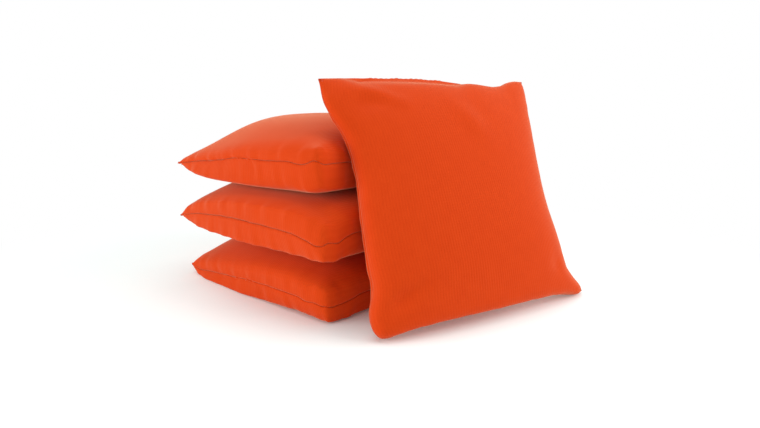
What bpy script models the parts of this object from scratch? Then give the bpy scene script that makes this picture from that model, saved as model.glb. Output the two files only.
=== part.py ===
"""A set of four toss bean bags: three in a pile and one that leans against the pile.

Every bag is sewn from two square canvas panels, right side out, with their seam allowances turned in. The
lock-stitched seam has a needle thread and a bobbin thread, the filling gap in one side is closed by a row of
stitches, and the loose fill takes up the room inside. Lengths are in metres and +Z is up. The origin is the
middle of the lowest bag's flat underside, and the sides of that bag lie along X and Y.
"""

import math
from dataclasses import dataclass

import bmesh
import bpy
from mathutils import Matrix, Vector
from mathutils.bvhtree import BVHTree

# The bag, filled
BAG_WIDTH = 0.150
CANVAS_THICKNESS = 0.0008
SEAM_ALLOWANCE = 0.010
SEAM_GAP = 0.0003
FILL_CLEARANCE = 0.0003

# The pile
PRESSED_HEIGHT = 0.037
BAG_GAP = 0.0003
PRESS_ROUNDING = 0.005
LEAST_SEAM_HEIGHT = 0.009
PRESSED_CROWN = PRESSED_HEIGHT - LEAST_SEAM_HEIGHT
FREE_CROWN = 0.024
PILE_DRAW_IN = 0.001
CONTACT_DRAW_IN = 0.007

# Seam height above the face that a bag lies on, at the middle of its sides and at its corners
LOWER_SEAM_HEIGHT = 0.0112
MIDDLE_SEAM_HEIGHT = 0.0138
UPPER_SEAM_HEIGHT = 0.0165
NEAR_CORNER_LIFT = 0.0025
NEAR_CORNER_DROP = 0.0008
NEAR_CORNER_RISE = 0.0033
LEFT_CORNER_DROP = 0.0050
UPPER_LEFT_CORNER_DROP = 0.0078
FAR_CORNER_DROP = 0.0030

# How the bags of the pile lie on each other
MIDDLE_SHIFT_X = 0.0010
MIDDLE_SHIFT_Y = -0.0052
MIDDLE_TURN = math.radians(1.0)
UPPER_SHIFT_X = -0.0082
UPPER_SHIFT_Y = 0.0008
UPPER_TURN = math.radians(1.2)

# The leaning bag
LEAN_ANGLE = math.radians(25.2)
LEAN_TURN = math.radians(72.4)
LEAN_SHIFT_ALONG = 0.0456
LEAN_START_DISTANCE = 0.250
LEAN_FLOOR_GAP = 0.0002
LEAN_FRONT_CROWN = 0.023
LEAN_BACK_CROWN = 0.018
LEAN_BACK_PRESS = 0.0083
LEAN_FOOT_REACH = 0.002
LEAN_TOP_LEFT_REACH = 0.0025
LEAN_LEFT_DRAW_IN = 0.011
LEAN_RIGHT_DRAW_IN = 0.0095
LEAN_TOP_DRAW_IN = 0.001
LEAN_FOOT_DRAW_IN = 0.004

# The closed filling gap, which lies off the middle of the leaning bag's top edge
CLOSING_LENGTH = 0.064
CLOSING_FADE = 0.016
LEAN_CLOSING_SHIFT = 0.021
CLOSING_LIP = 0.0040
CLOSING_INSET = 0.0018
CLOSING_STITCH = 0.004
CLOSING_THREAD_GAP = 0.0005

# Threads
THREAD_RADIUS = 0.0003
THREAD_GAP = 0.0003
FLANGE_END_GAP = 0.0005

# Shares of half a bag's side, and bare powers of the bag's curves
RING_SHARES = (1.0, 0.990, 0.965, 0.920, 0.830, 0.660, 0.400)
LIP_HEIGHT_SHARE = 2.5
SLUMP_SHARE = 0.22
STITCH_WAIST_SHARE = 0.6
CROWN_POWER = 2.6
CROWN_ROUNDNESS = 0.36
DRAW_IN_POWER = 0.9
CORNER_POWER = 1.5
REACH_POWER = 6
SIDE_STEPS = 8
SEARCH_STEPS = 30
FILL_FIRST_RING = 3

CANVAS_COLOUR = (0.760, 0.062, 0.008, 1.0)
THREAD_COLOUR = (0.640, 0.045, 0.006, 1.0)
FILL_COLOUR = (0.620, 0.420, 0.120, 1.0)


@dataclass(frozen=True)
class Bag:
    """One bag in its own frame: x and y in the seam's plane, z up through its thickness."""

    name: str
    panel_names: tuple
    seam_height: float
    corner_lifts: tuple
    crowns: tuple
    presses: tuple
    draw_ins: tuple
    slump: float
    corner_reaches: tuple
    closing_side: int
    closing_shift: float


def side_frame(side):
    """Unit vectors along a side, anticlockwise, and out of it. Side 0 faces -y, and the others follow."""
    along = ((1, 0), (0, 1), (-1, 0), (0, -1))[side]
    return along, (along[1], -along[0])


def corner_sum(amounts, s, t, power):
    """The sum of four amounts, each of which counts in full at its own corner and fades away from it."""
    total = 0.0
    for (u, v), amount in zip(((-1, -1), (1, -1), (1, 1), (-1, 1)), amounts):
        total += amount * (max(0.0, s * u) * max(0.0, t * v)) ** power
    return total


def perimeter_shares():
    """Points round the unit square, closer together towards its corners."""
    points = []
    for side in range(4):
        along, out = side_frame(side)
        for step in range(SIDE_STEPS):
            share = math.sin(math.pi / 2 * (2 * step / SIDE_STEPS - 1))
            points.append((out[0] + along[0] * share, out[1] + along[1] * share))
    return points


def closing_window(bag, s, t):
    """1 along the closed filling gap, 0 elsewhere, with a soft change at the gap's two ends."""
    along, out = side_frame(bag.closing_side)
    if s * out[0] + t * out[1] <= 0:
        return 0.0
    place = abs((s * along[0] + t * along[1]) * BAG_WIDTH / 2 - bag.closing_shift)
    fade = min(1.0, max(0.0, (CLOSING_LENGTH / 2 + CLOSING_FADE - place) / CLOSING_FADE))
    return fade * fade * (3 - 2 * fade)


def seam_height(bag, s, t):
    """Height of the seam's own sheet: level, apart from corners that lift or droop."""
    return bag.seam_height + corner_sum(bag.corner_lifts, s, t, CORNER_POWER)


def crown(s, t):
    """Fullness of a face: 1 in the middle, 0 along the seam."""
    room = (1 - min(1.0, abs(s)) ** CROWN_POWER) * (1 - min(1.0, abs(t)) ** CROWN_POWER)
    return room ** CROWN_ROUNDNESS


def pressed(height, limit):
    """Height, kept under a limit, with a rounded change where the two meet."""
    overlap = max(PRESS_ROUNDING - abs(height - limit), 0.0)
    return min(height, limit) - overlap * overlap / (4 * PRESS_ROUNDING)


def face_point(bag, side, s, t):
    """A point of a panel's outer face. Side is 1 for the panel above the seam and -1 for the one below."""
    window = closing_window(bag, s, t)
    _, out = side_frame(bag.closing_side)
    lip_share = CLOSING_LIP / (BAG_WIDTH / 2) * window
    s_full = s / (1 - lip_share) if out[0] * s > 0 else s
    t_full = t / (1 - lip_share) if out[1] * t > 0 else t
    fullness = bag.crowns[0 if side > 0 else 1] * crown(s_full, t_full) * (1 - bag.slump * t)
    edge = 1 - max(abs(s), abs(t)) ** (BAG_WIDTH / CANVAS_THICKNESS)
    lip = LIP_HEIGHT_SHARE * CANVAS_THICKNESS * window * edge
    rise = SEAM_GAP / 2 + math.hypot(fullness, lip)
    seam = seam_height(bag, s, t)
    limit = bag.presses[0] - seam if side > 0 else seam - bag.presses[1]
    height = pressed(rise, limit) if limit < BAG_WIDTH else rise
    return Vector((*seam_place(bag, s, t), seam + side * height))


def seam_place(bag, s, t):
    """x and y of a share of the seam's sheet. Its sides pull in between the corners, which may reach out."""
    reach = corner_sum(bag.corner_reaches, s, t, REACH_POWER)
    near, right, far, left = bag.draw_ins
    x = s * (BAG_WIDTH / 2 - (right if s > 0 else left) * (1 - t * t) ** DRAW_IN_POWER + reach)
    y = t * (BAG_WIDTH / 2 - (far if t > 0 else near) * (1 - s * s) ** DRAW_IN_POWER + reach)
    return x, y


def inner_point(bag, side, s, t, depth):
    """A point at a depth under a panel's outer face, square to the face."""
    step = min(CANVAS_THICKNESS / BAG_WIDTH, (1 - max(abs(s), abs(t))) / 2)
    here = face_point(bag, side, s, t)
    to_s = face_point(bag, side, s + step, t) - face_point(bag, side, s - step, t)
    to_t = face_point(bag, side, s, t + step) - face_point(bag, side, s, t - step)
    return here - to_s.cross(to_t).normalized() * side * depth


def sheet_point(bag, side, s, t, height):
    """A point at a height off the seam's sheet."""
    return Vector((*seam_place(bag, s, t), seam_height(bag, s, t) + side * height))


def fold_share(bag, side, place):
    """The share of the way out where the inner face comes down onto the turned-in allowance."""
    low, high = RING_SHARES[-1], 1 - CANVAS_THICKNESS / BAG_WIDTH / SIDE_STEPS
    for _ in range(SEARCH_STEPS):
        share = (low + high) / 2
        s, t = place[0] * share, place[1] * share
        height = side * (inner_point(bag, side, s, t, CANVAS_THICKNESS).z - seam_height(bag, s, t))
        if height > SEAM_GAP / 2 + CANVAS_THICKNESS:
            low = share
        else:
            high = share
    return low


def inner_shares(bag, side, place):
    """The shares of the way out of the inner face's rings, from the fold at the seam inwards."""
    innermost = RING_SHARES[-1]
    fold = fold_share(bag, side, place)
    return [innermost + (fold - innermost) * (share - innermost) / (1 - innermost) for share in RING_SHARES]


def inner_wall(bag, side, place):
    """Points of the inner face in one column, from where it meets the allowance inwards, with their shares."""
    shares = inner_shares(bag, side, place)
    points = [inner_point(bag, side, place[0] * share, place[1] * share, CANVAS_THICKNESS) for share in shares]
    seam = seam_height(bag, place[0] * shares[0], place[1] * shares[0])
    points[0].z = seam + side * (SEAM_GAP / 2 + CANVAS_THICKNESS)
    return shares, points


def flange_share(place):
    """The share of the way out where the turned-in allowance ends. It is clipped across the corners."""
    along = min(abs(place[0]), abs(place[1]))
    depth = min(SEAM_ALLOWANCE, (1 - along) * BAG_WIDTH / 2)
    return 1 - depth / (BAG_WIDTH / 2)


def loft(name, rings, first, last):
    """A closed body from rings of points, with a fan to a middle point at each end.

    Each four-cornered patch is split along its shorter diagonal, so that walls side by side split alike.
    """
    mesh = bmesh.new()
    loops = [[mesh.verts.new(point) for point in ring] for ring in rings]
    for one, other in zip(loops, loops[1:]):
        for step in range(len(one)):
            after = (step + 1) % len(one)
            a, b, c, d = one[step], one[after], other[after], other[step]
            if (c.co - a.co).length > (d.co - b.co).length:
                a, b, c, d = b, c, d, a
            mesh.faces.new((a, b, c))
            mesh.faces.new((a, c, d))
    for loop, middle in ((loops[0], first), (loops[-1], last)):
        hub = mesh.verts.new(middle)
        for step in range(len(loop)):
            mesh.faces.new((loop[step], loop[(step + 1) % len(loop)], hub))
    bmesh.ops.recalc_face_normals(mesh, faces=mesh.faces)
    data = bpy.data.meshes.new(name)
    mesh.to_mesh(data)
    mesh.free()
    data.shade_smooth()
    data.set_sharp_from_angle(angle=math.radians(50))
    return data


def panel_mesh(bag, side):
    """A canvas panel: its crowned face, the fold at the seam, the turned-in allowance and the inner face."""
    places = perimeter_shares()
    sheet = SEAM_GAP / 2
    least = FLANGE_END_GAP / (BAG_WIDTH / 2)
    walls = [inner_wall(bag, side, place) for place in places]
    ends = [min(flange_share(place), shares[0] - least) for place, (shares, _) in zip(places, walls)]
    rings = []
    for share in reversed(RING_SHARES):
        rings.append([face_point(bag, side, s * share, t * share) for s, t in places])
    for height in (sheet, sheet + CANVAS_THICKNESS):
        rings.append([sheet_point(bag, side, s * end, t * end, height) for (s, t), end in zip(places, ends)])
    for index in range(len(RING_SHARES)):
        rings.append([points[index] for _, points in walls])
    inner_middle = inner_point(bag, side, 0, 0, CANVAS_THICKNESS)
    return loft(f"{bag.name}_panel", rings, face_point(bag, side, 0, 0), inner_middle)


def seam_thread_points(bag, side):
    """Where a thread of the seam lies: on the allowance, beside the wall that rises from the fold."""
    height = SEAM_GAP / 2 + CANVAS_THICKNESS + THREAD_GAP + THREAD_RADIUS
    beside = (THREAD_GAP + THREAD_RADIUS) / (BAG_WIDTH / 2)
    clear = height + THREAD_RADIUS + THREAD_GAP
    thread = []
    for place in perimeter_shares():
        shares, points = inner_wall(bag, side, place)
        heights = []
        for share, point in zip(shares, points):
            heights.append(side * (point.z - seam_height(bag, place[0] * share, place[1] * share)))
        step = next(index for index in range(1, len(heights)) if heights[index] >= clear)
        way = (clear - heights[step - 1]) / (heights[step] - heights[step - 1])
        wall = points[step - 1].lerp(points[step], way)
        share = shares[step - 1] + (shares[step] - shares[step - 1]) * way
        inward = Vector((wall.x, wall.y)) * (1 - beside / share)
        seam = seam_height(bag, place[0] * share, place[1] * share)
        thread.append(Vector((*inward, seam + side * height)))
    return thread


def fill_mesh(bag):
    """The loose fill: it takes up the bag and closes round the turned-in allowances."""
    places = perimeter_shares()
    depth = CANVAS_THICKNESS + FILL_CLEARANCE
    notch = SEAM_GAP / 2 + CANVAS_THICKNESS + FILL_CLEARANCE
    end_gap = FLANGE_END_GAP / (BAG_WIDTH / 2)
    shares = {side: [inner_shares(bag, side, place)[FILL_FIRST_RING:] for place in places] for side in (1, -1)}
    slots = []
    for place, above, below in zip(places, shares[1], shares[-1]):
        slots.append(min(flange_share(place), above[0], below[0]) - end_gap)

    def half(side):
        walls = []
        for (s, t), inward in zip(places, shares[side]):
            walls.append([inner_point(bag, side, s * share, t * share, depth) for share in inward])
        surface = [[wall[ring] for wall in walls] for ring in range(len(walls[0]))]
        foot = []
        slot = []
        for (s, t), wall, inward, end in zip(places, walls, shares[side], slots):
            seam = seam_height(bag, s * inward[0], t * inward[0])
            foot.append(Vector((wall[0].x, wall[0].y, seam + side * notch)))
            slot.append(sheet_point(bag, side, s * end, t * end, notch))
        return surface[::-1] + [foot, slot]

    rings = half(1) + half(-1)[::-1]
    return loft(f"{bag.name}_fill", rings, inner_point(bag, 1, 0, 0, depth), inner_point(bag, -1, 0, 0, depth))


def thread_curve(name, points, radii, closed):
    """A thread as a round-section curve through its points."""
    curve = bpy.data.curves.new(name, "CURVE")
    curve.dimensions = "3D"
    curve.bevel_depth = THREAD_RADIUS
    curve.bevel_resolution = 0
    curve.use_fill_caps = not closed
    spline = curve.splines.new("POLY")
    spline.points.add(len(points) - 1)
    for target, point, radius in zip(spline.points, points, radii):
        target.co = (*point, 1.0)
        target.radius = radius
    spline.use_cyclic_u = closed
    return curve


def seam_thread(bag, side):
    """One of the lock stitch's two threads, which runs round the bag on its own side of the allowances."""
    points = seam_thread_points(bag, side)
    return thread_curve(f"{bag.name}_seam_thread", points, [1.0] * len(points), True)


def closing_thread(bag, panel):
    """The row of stitches over the filling gap: each stitch is thick in its middle and dips at its ends."""
    surface = BVHTree.FromPolygons([v.co for v in panel.vertices], [f.vertices for f in panel.polygons])
    down = Vector((0, 0, -1))
    along, out = side_frame(bag.closing_side)
    half = BAG_WIDTH / 2
    steps = 2 * round(CLOSING_LENGTH / CLOSING_STITCH)
    out_share = 1 - CLOSING_INSET / half
    points = []
    radii = []
    for step in range(steps + 1):
        share = ((step / steps - 1 / 2) * CLOSING_LENGTH + bag.closing_shift) / half
        s = along[0] * share + out[0] * out_share
        t = along[1] * share + out[1] * out_share
        above = face_point(bag, 1, s, t) - down * BAG_WIDTH
        point, _, _, _ = surface.ray_cast(above, down)
        points.append(point - down * (CLOSING_THREAD_GAP + THREAD_RADIUS))
        radii.append(1.0 if step % 2 else STITCH_WAIST_SHARE)
    return thread_curve(f"{bag.name}_closing", points, radii, False)


def make_material(name, colour, roughness):
    """A plain finish for one kind of piece."""
    material = bpy.data.materials.new(name)
    material.use_nodes = True
    shader = material.node_tree.nodes["Principled BSDF"]
    shader.inputs["Base Color"].default_value = colour
    shader.inputs["Roughness"].default_value = roughness
    shader.inputs["Metallic"].default_value = 0.0
    material.diffuse_color = colour
    return material


def make_bag(bag, place, finishes):
    """Adds a bag's pieces to the scene, under an empty at the bag's own frame."""
    holder = bpy.data.objects.new(bag.name, None)
    holder.matrix_world = place
    bpy.context.scene.collection.objects.link(holder)
    first, second = bag.panel_names
    front = panel_mesh(bag, 1)
    pieces = (
        (first, front, "canvas"),
        (second, panel_mesh(bag, -1), "canvas"),
        ("needle_thread", seam_thread(bag, 1), "thread"),
        ("bobbin_thread", seam_thread(bag, -1), "thread"),
        ("closing_thread", closing_thread(bag, front), "thread"),
        ("fill", fill_mesh(bag), "fill"),
    )
    made = []
    for name, data, finish in pieces:
        data.materials.append(finishes[finish])
        piece = bpy.data.objects.new(f"{bag.name}_{name}", data)
        piece.parent = holder
        bpy.context.scene.collection.objects.link(piece)
        made.append(piece)
    return holder, made


def panel_shape(pieces):
    """World points and faces of a bag's two panels."""
    points = []
    faces = []
    for piece in pieces[:2]:
        start = len(points)
        points += [piece.matrix_world @ vertex.co for vertex in piece.data.vertices]
        faces += [[start + index for index in face.vertices] for face in piece.data.polygons]
    return points, faces


def free_way(moving, fixed, direction, most):
    """How far the moving panels can go in a direction before they touch the fixed ones."""
    points, faces = moving
    still = BVHTree.FromPolygons(*fixed)

    def touches(way):
        moved = [point + direction * way for point in points]
        return bool(BVHTree.FromPolygons(moved, faces).overlap(still))

    strides = round(most / (BAG_GAP * SEARCH_STEPS))
    stride = most / strides
    clear = next(step for step in range(strides) if touches((step + 1) * stride)) * stride
    blocked = clear + stride
    for _ in range(SEARCH_STEPS):
        middle = (clear + blocked) / 2
        if touches(middle):
            blocked = middle
        else:
            clear = middle
    return clear


def pile_bags():
    """The three bags of the pile, from the floor up, each with its place."""
    free = 2 * BAG_WIDTH
    level = PRESSED_HEIGHT + BAG_GAP
    left, far = -LEFT_CORNER_DROP, -FAR_CORNER_DROP
    names = ("top_panel", "bottom_panel")
    square = (0.0, 0.0, 0.0, 0.0)
    draw_ins = (PILE_DRAW_IN, PILE_DRAW_IN, PILE_DRAW_IN, PILE_DRAW_IN)
    contact = (PILE_DRAW_IN, CONTACT_DRAW_IN, PILE_DRAW_IN, PILE_DRAW_IN)
    lower = Bag(
        "lower_bag", names, LOWER_SEAM_HEIGHT, (left, NEAR_CORNER_LIFT, far, far),
        (PRESSED_CROWN, PRESSED_CROWN), (PRESSED_HEIGHT, 0.0), draw_ins, 0.0, square, 2, 0.0,
    )
    middle = Bag(
        "middle_bag", names, MIDDLE_SEAM_HEIGHT, (left, -NEAR_CORNER_DROP, far, far),
        (PRESSED_CROWN, PRESSED_CROWN), (PRESSED_HEIGHT, 0.0), draw_ins, 0.0, square, 3, 0.0,
    )
    upper = Bag(
        "upper_bag", names, UPPER_SEAM_HEIGHT, (-UPPER_LEFT_CORNER_DROP, NEAR_CORNER_RISE, far, far),
        (FREE_CROWN, PRESSED_CROWN), (free, 0.0), contact, 0.0, square, 2, 0.0,
    )
    places = (
        Matrix.Identity(4),
        Matrix.Translation((MIDDLE_SHIFT_X, MIDDLE_SHIFT_Y, level)) @ Matrix.Rotation(MIDDLE_TURN, 4, "Z"),
        Matrix.Translation((UPPER_SHIFT_X, UPPER_SHIFT_Y, 2 * level)) @ Matrix.Rotation(UPPER_TURN, 4, "Z"),
    )
    return tuple(zip((lower, middle, upper), places))


def leaning_bag():
    """The bag that leans on the pile. Its own y runs up its face and its own z out of the front."""
    free = 2 * BAG_WIDTH
    bag = Bag(
        "leaning_bag", ("front_panel", "back_panel"), 0.0, (0.0, 0.0, 0.0, 0.0),
        (LEAN_FRONT_CROWN, LEAN_BACK_CROWN), (free, -LEAN_BACK_PRESS),
        (LEAN_FOOT_DRAW_IN, LEAN_RIGHT_DRAW_IN, LEAN_TOP_DRAW_IN, LEAN_LEFT_DRAW_IN), SLUMP_SHARE,
        (LEAN_FOOT_REACH, LEAN_FOOT_REACH, 0.0, LEAN_TOP_LEFT_REACH), 2, LEAN_CLOSING_SHIFT,
    )
    along = Vector((math.cos(LEAN_TURN), math.sin(LEAN_TURN), 0.0))
    back = Vector((-math.sin(LEAN_TURN), math.cos(LEAN_TURN), 0.0))
    turn = Matrix.Rotation(LEAN_TURN, 4, "Z") @ Matrix.Rotation(math.pi / 2 - LEAN_ANGLE, 4, "X")
    start = Matrix.Translation(along * LEAN_SHIFT_ALONG - back * LEAN_START_DISTANCE) @ turn
    return bag, start, back


def main():
    for thing in list(bpy.data.objects):
        bpy.data.objects.remove(thing, do_unlink=True)
    finishes = {
        "canvas": make_material("duck_canvas", CANVAS_COLOUR, 0.85),
        "thread": make_material("polyester_thread", THREAD_COLOUR, 0.55),
        "fill": make_material("dry_fill", FILL_COLOUR, 0.80),
    }
    pile_points = []
    pile_faces = []
    for bag, place in pile_bags():
        _, pieces = make_bag(bag, place, finishes)
        bpy.context.view_layer.update()
        points, faces = panel_shape(pieces)
        pile_faces += [[len(pile_points) + index for index in face] for face in faces]
        pile_points += points

    bag, start, back = leaning_bag()
    holder, pieces = make_bag(bag, start, finishes)
    bpy.context.view_layer.update()
    points, faces = panel_shape(pieces)
    drop = Vector((0.0, 0.0, min(point.z for point in points) - LEAN_FLOOR_GAP))
    points = [point - drop for point in points]
    way = free_way((points, faces), (pile_points, pile_faces), back, LEAN_START_DISTANCE) - BAG_GAP
    holder.matrix_world = Matrix.Translation(back * way - drop) @ start
    bpy.context.view_layer.update()


main()
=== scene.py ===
"""Dresses the set of four toss bags and lights it like the photograph.

Each bag's canvas is a piece of simulated cloth. It starts in the bag's filled shape, and its rest shape is the
two flat squares that the bag is sewn from, so the spare cloth along the seams puckers by itself. The result is
kept close to the solid bag, laid flat on whatever the bag rests on, and given its seam, stitches and weave.
Lengths are in metres, unless a name says otherwise.
"""

import logging
import math
from dataclasses import dataclass, replace
from enum import Enum

import bpy
import numpy as np
from bpy.types import Curve, Material, Mesh, Node, NodeSocket, NodeTree, Object
from mathutils import Matrix, Vector


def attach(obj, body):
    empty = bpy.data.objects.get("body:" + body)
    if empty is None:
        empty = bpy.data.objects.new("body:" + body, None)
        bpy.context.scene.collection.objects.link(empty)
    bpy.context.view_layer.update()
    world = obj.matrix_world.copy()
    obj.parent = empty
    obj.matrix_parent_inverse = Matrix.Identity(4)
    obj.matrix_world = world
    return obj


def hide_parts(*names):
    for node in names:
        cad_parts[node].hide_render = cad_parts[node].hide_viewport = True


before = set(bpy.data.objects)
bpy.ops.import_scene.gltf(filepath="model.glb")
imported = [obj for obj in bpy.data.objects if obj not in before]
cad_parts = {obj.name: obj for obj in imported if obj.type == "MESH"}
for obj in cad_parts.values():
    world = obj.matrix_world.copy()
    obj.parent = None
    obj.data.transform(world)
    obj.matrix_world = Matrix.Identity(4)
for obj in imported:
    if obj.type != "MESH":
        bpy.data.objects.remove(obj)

LOG = logging.getLogger("toss_bags")

Four = tuple[float, float, float, float]
NONE_OF_FOUR: Four = (0.0, 0.0, 0.0, 0.0)
CORNERS = ((-1, -1), (1, -1), (1, 1), (-1, 1))


class Face(Enum):
    """The two canvas squares of a bag: the one above the seam's sheet and the one below it."""

    UPPER = 1
    LOWER = -1

    @property
    def half(self) -> int:
        """The face's place in a pair of values: 0 above and 1 below."""
        return (1 - self.value) // 2


def linear(hex_colour: str) -> Four:
    """Turns an sRGB colour such as "E8501E" into linear values.

    Args:
        hex_colour: six hexadecimal digits.

    Returns:
        Linear red, green, blue and an alpha of 1.
    """
    values = [int(hex_colour[k : k + 2], 16) / 255 for k in (0, 2, 4)]
    red, green, blue = (v / 12.92 if v <= 0.04045 else ((v + 0.055) / 1.055) ** 2.4 for v in values)
    return red, green, blue, 1.0


def add_node(tree: NodeTree, kind: str, settings: dict | None = None, links: dict | None = None) -> Node:
    """Adds one shader node.

    Args:
        tree: the material's or world's node tree.
        kind: the node's Blender type.
        settings: attributes and input values by name.
        links: input names with the output socket that feeds each.

    Returns:
        The new node.
    """
    node = tree.nodes.new(kind)
    for name, value in (settings or {}).items():
        if isinstance(name, str) and hasattr(node, name):
            setattr(node, name, value)
        else:
            node.inputs[name].default_value = value
    for name, socket in (links or {}).items():
        tree.links.new(socket, node.inputs[name])
    return node


def new_tree(name: str, values: dict) -> tuple[Material, NodeTree, Node]:
    """A material with an empty tree apart from its shader and output.

    Args:
        name: the material's name.
        values: the shader's input values by name.

    Returns:
        The material, its node tree and its Principled shader.
    """
    material = bpy.data.materials.new(name)
    material.use_nodes = True
    material.diffuse_color = values["Base Color"]
    shader = material.node_tree.nodes["Principled BSDF"]
    for socket, value in values.items():
        shader.inputs[socket].default_value = value
    return material, material.node_tree, shader


class Slot(Enum):
    """The record's material slots."""

    CANVAS = "duck_canvas"
    THREAD = "polyester_thread"
    FILL = "dry_fill"


@dataclass(frozen=True)
class Finish:
    """What every finish has: its name, its sRGB colour, its roughness and its relief in metres."""

    name: str
    colour: str
    roughness: float
    bump: float
    bump_depth: float
    sunken: bool = False

    def values(self) -> dict:
        """The shader's input values by name."""
        return {"Base Color": linear(self.colour), "Roughness": self.roughness}

    def pattern(self, tree: NodeTree) -> tuple[NodeSocket | None, NodeSocket]:
        """The sockets that carry the finish's colour, if it varies, and its relief."""
        raise NotImplementedError

    def material(self) -> Material:
        """Builds the finish.

        Returns:
            The material.
        """
        material, tree, shader = new_tree(self.name, self.values())
        colour, height = self.pattern(tree)
        if colour is not None:
            tree.links.new(colour, shader.inputs["Base Color"])
        relief = {"Strength": self.bump, "Distance": self.bump_depth, "invert": self.sunken}
        bump = add_node(tree, "ShaderNodeBump", relief, {"Height": height})
        tree.links.new(bump.outputs["Normal"], shader.inputs["Normal"])
        LOG.info("finish %s", self.name)
        return material


@dataclass(frozen=True)
class CanvasFinish(Finish):
    """Cotton duck, woven and piece-dyed."""

    # To the eye: a matt, full orange with cloudy dye, a faint upright rib, and a pale fuzz at grazing angles.
    name: str = "duck_canvas_cloth"
    colour: str = "E54C13"
    roughness: float = 0.88
    bump: float = 0.35
    bump_depth: float = 0.00022
    shade: str = "D23C07"
    fuzz_tint: str = "FFDCB4"
    fuzz: float = 0.52
    fuzz_roughness: float = 0.35
    fuzz_bump: float = 0.35
    gloss: float = 0.1
    rib_mm: float = 1.7
    slub_mm: float = 9.0
    weft_share: float = 0.22
    rib_contrast: float = 0.18
    slub_contrast: float = 0.45

    def values(self) -> dict:
        """The shader's input values by name."""
        return {
            **super().values(),
            "Specular IOR Level": self.gloss,
            "Sheen Weight": self.fuzz,
            "Sheen Roughness": self.fuzz_roughness,
            "Sheen Tint": linear(self.fuzz_tint),
        }

    def pattern(self, tree: NodeTree) -> tuple[NodeSocket | None, NodeSocket]:
        """The weave, which follows the cloth's own coordinates in millimetres, and the cloudy dye.

        Args:
            tree: the material's tree.

        Returns:
            The colour and the relief.
        """
        cloth = {"Vector": add_node(tree, "ShaderNodeUVMap", {"uv_map": "cloth_mm"}).outputs["UV"]}
        # The real duck has about 1.2 threads to the millimetre. They are drawn at 1.7 mm, as wide as the rib that
        # the photograph resolves, because finer ones would vanish at its size.
        rib = {"wave_type": "BANDS", "wave_profile": "SIN", "Distortion": 0.6, "Detail": 1.0, "Detail Scale": 0.3}
        rib["Scale"] = 2 * math.pi / self.rib_mm / 20
        warp, weft = (
            add_node(tree, "ShaderNodeTexWave", {**rib, "bands_direction": way}, cloth).outputs["Fac"] for way in "XY"
        )
        mixed = {"data_type": "FLOAT", "Factor": self.weft_share}
        weave = add_node(tree, "ShaderNodeMix", mixed, {"A": warp, "B": weft}).outputs[0]
        slubs = {"Scale": 1 / self.slub_mm, "Detail": 5.0, "Roughness": 0.62}
        slub = add_node(tree, "ShaderNodeTexNoise", slubs, cloth).outputs["Fac"]
        fuzz = add_node(tree, "ShaderNodeTexNoise", {"Scale": 1.3, "Detail": 2.0}, cloth).outputs["Fac"]
        ribs = add_node(tree, "ShaderNodeMath", {"operation": "MULTIPLY", 1: self.rib_contrast}, {0: weave}).outputs[0]
        dye = {"operation": "MULTIPLY_ADD", 1: self.slub_contrast}
        mottle = add_node(tree, "ShaderNodeMath", dye, {0: slub, 2: ribs}).outputs[0]
        dyes = {"data_type": "RGBA", 6: linear(self.shade), 7: linear(self.colour)}
        colour = add_node(tree, "ShaderNodeMix", dyes, {0: mottle}).outputs[2]
        relief = {"operation": "MULTIPLY_ADD", 1: self.fuzz_bump}
        return colour, add_node(tree, "ShaderNodeMath", relief, {0: fuzz, 2: weave}).outputs[0]


@dataclass(frozen=True)
class ThreadFinish(Finish):
    """Polyester sewing thread, spun and dyed."""

    # To the eye: the canvas's colour, a little deeper, with a slight gloss and the slant of its twist.
    name: str = "spun_thread"
    colour: str = "D94A14"
    roughness: float = 0.55
    bump: float = 0.4
    bump_depth: float = 0.0001
    sheen: float = 0.2
    twist_per_m: float = 900.0

    def values(self) -> dict:
        """The shader's input values by name."""
        return {**super().values(), "Sheen Weight": self.sheen}

    def pattern(self, tree: NodeTree) -> tuple[NodeSocket | None, NodeSocket]:
        """The twist, on one colour."""
        place = add_node(tree, "ShaderNodeTexCoord").outputs["Object"]
        twist = {"bands_direction": "DIAGONAL", "Scale": self.twist_per_m / 6, "Distortion": 0.4}
        return None, add_node(tree, "ShaderNodeTexWave", twist, {"Vector": place}).outputs["Fac"]


@dataclass(frozen=True)
class GrainFinish(Finish):
    """Whole grain, dried and loose."""

    # To the eye: pale yellow kernels of about 7 mm with darker gaps between them; the darkening is painted shade,
    # deepest in the gaps.
    name: str = "dry_grain"
    colour: str = "D9A441"
    roughness: float = 0.7
    bump: float = 0.8
    bump_depth: float = 0.002
    sunken: bool = True
    # Painted shade for the gaps between kernels, mixed in towards each kernel's rim.
    gap: str = "7A4E14"
    kernel_per_m: float = 140.0

    def pattern(self, tree: NodeTree) -> tuple[NodeSocket | None, NodeSocket]:
        """The kernels.

        Args:
            tree: the material's tree.

        Returns:
            The colour and the relief.
        """
        place = add_node(tree, "ShaderNodeTexCoord").outputs["Object"]
        cells_of = {"Scale": self.kernel_per_m}
        kernels = add_node(tree, "ShaderNodeTexVoronoi", cells_of, {"Vector": place}).outputs["Distance"]
        # Painted shade: from the kernel colour at a kernel's middle to the gap colour at its rim and in the gaps.
        colours = {"data_type": "RGBA", 6: linear(self.colour), 7: linear(self.gap)}
        return add_node(tree, "ShaderNodeMix", colours, {0: kernels}).outputs[2], kernels


def corner_sum(amounts: tuple[float, ...], s: np.ndarray, t: np.ndarray, power: float) -> np.ndarray:
    """The sum of four amounts, each of which counts in full at its own corner and fades away from it.

    Args:
        amounts: one amount for each of the four corners, anticlockwise from the near left one.
        s: shares of the half width.
        t: shares of the half height.
        power: how quickly an amount fades.

    Returns:
        The sum at each point.
    """
    total = np.zeros_like(s)
    for (u, v), amount in zip(CORNERS, amounts):
        total = total + amount * (np.maximum(0.0, s * u) * np.maximum(0.0, t * v)) ** power
    return total


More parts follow.
